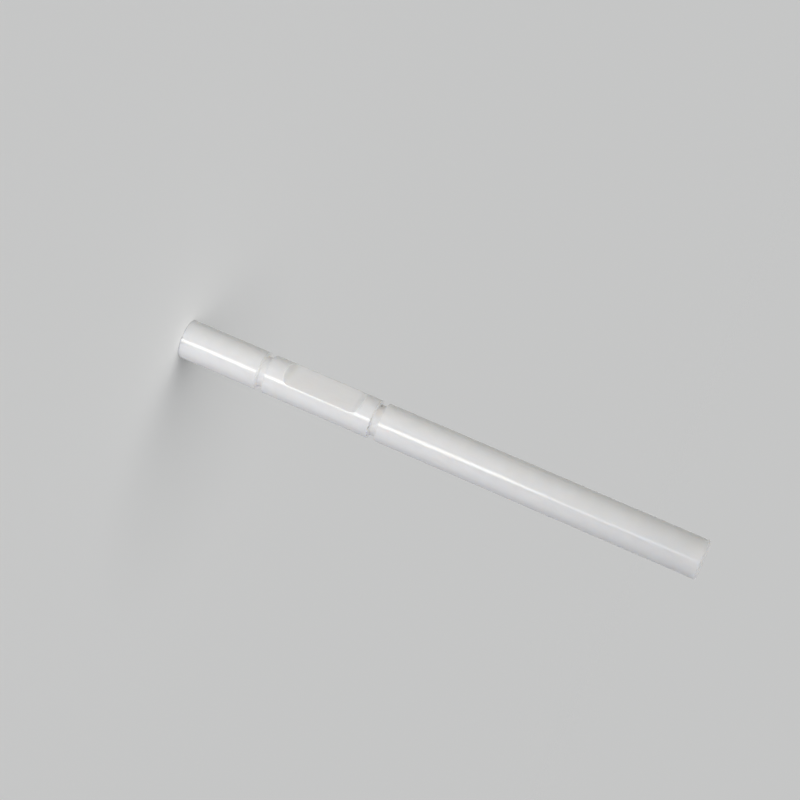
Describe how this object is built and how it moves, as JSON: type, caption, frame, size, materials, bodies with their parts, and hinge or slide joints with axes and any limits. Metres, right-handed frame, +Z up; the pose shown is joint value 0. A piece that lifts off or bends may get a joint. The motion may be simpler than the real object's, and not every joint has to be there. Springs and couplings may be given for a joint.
{
  "type": "ceramic shaft",
  "caption": "Slim round ceramic shaft with a retaining-ring groove on either side of a ground driving flat, which turns the part fitted over it, between polished journals.",
  "frame": {"origin": "centre of the short end's face, which the shaft stands on", "axes": "+Z up the axis, from the end near the grooves to the plain end, -Y out of the driving flat"},
  "size_m": [0.008, 0.008, 0.1107],
  "materials": {
    "ceramic": "polished white, ground and matt in the grooves"
  },
  "bodies": {
    "root": {"ceramic_shaft": "ceramic"}
  },
  "joints": []
}
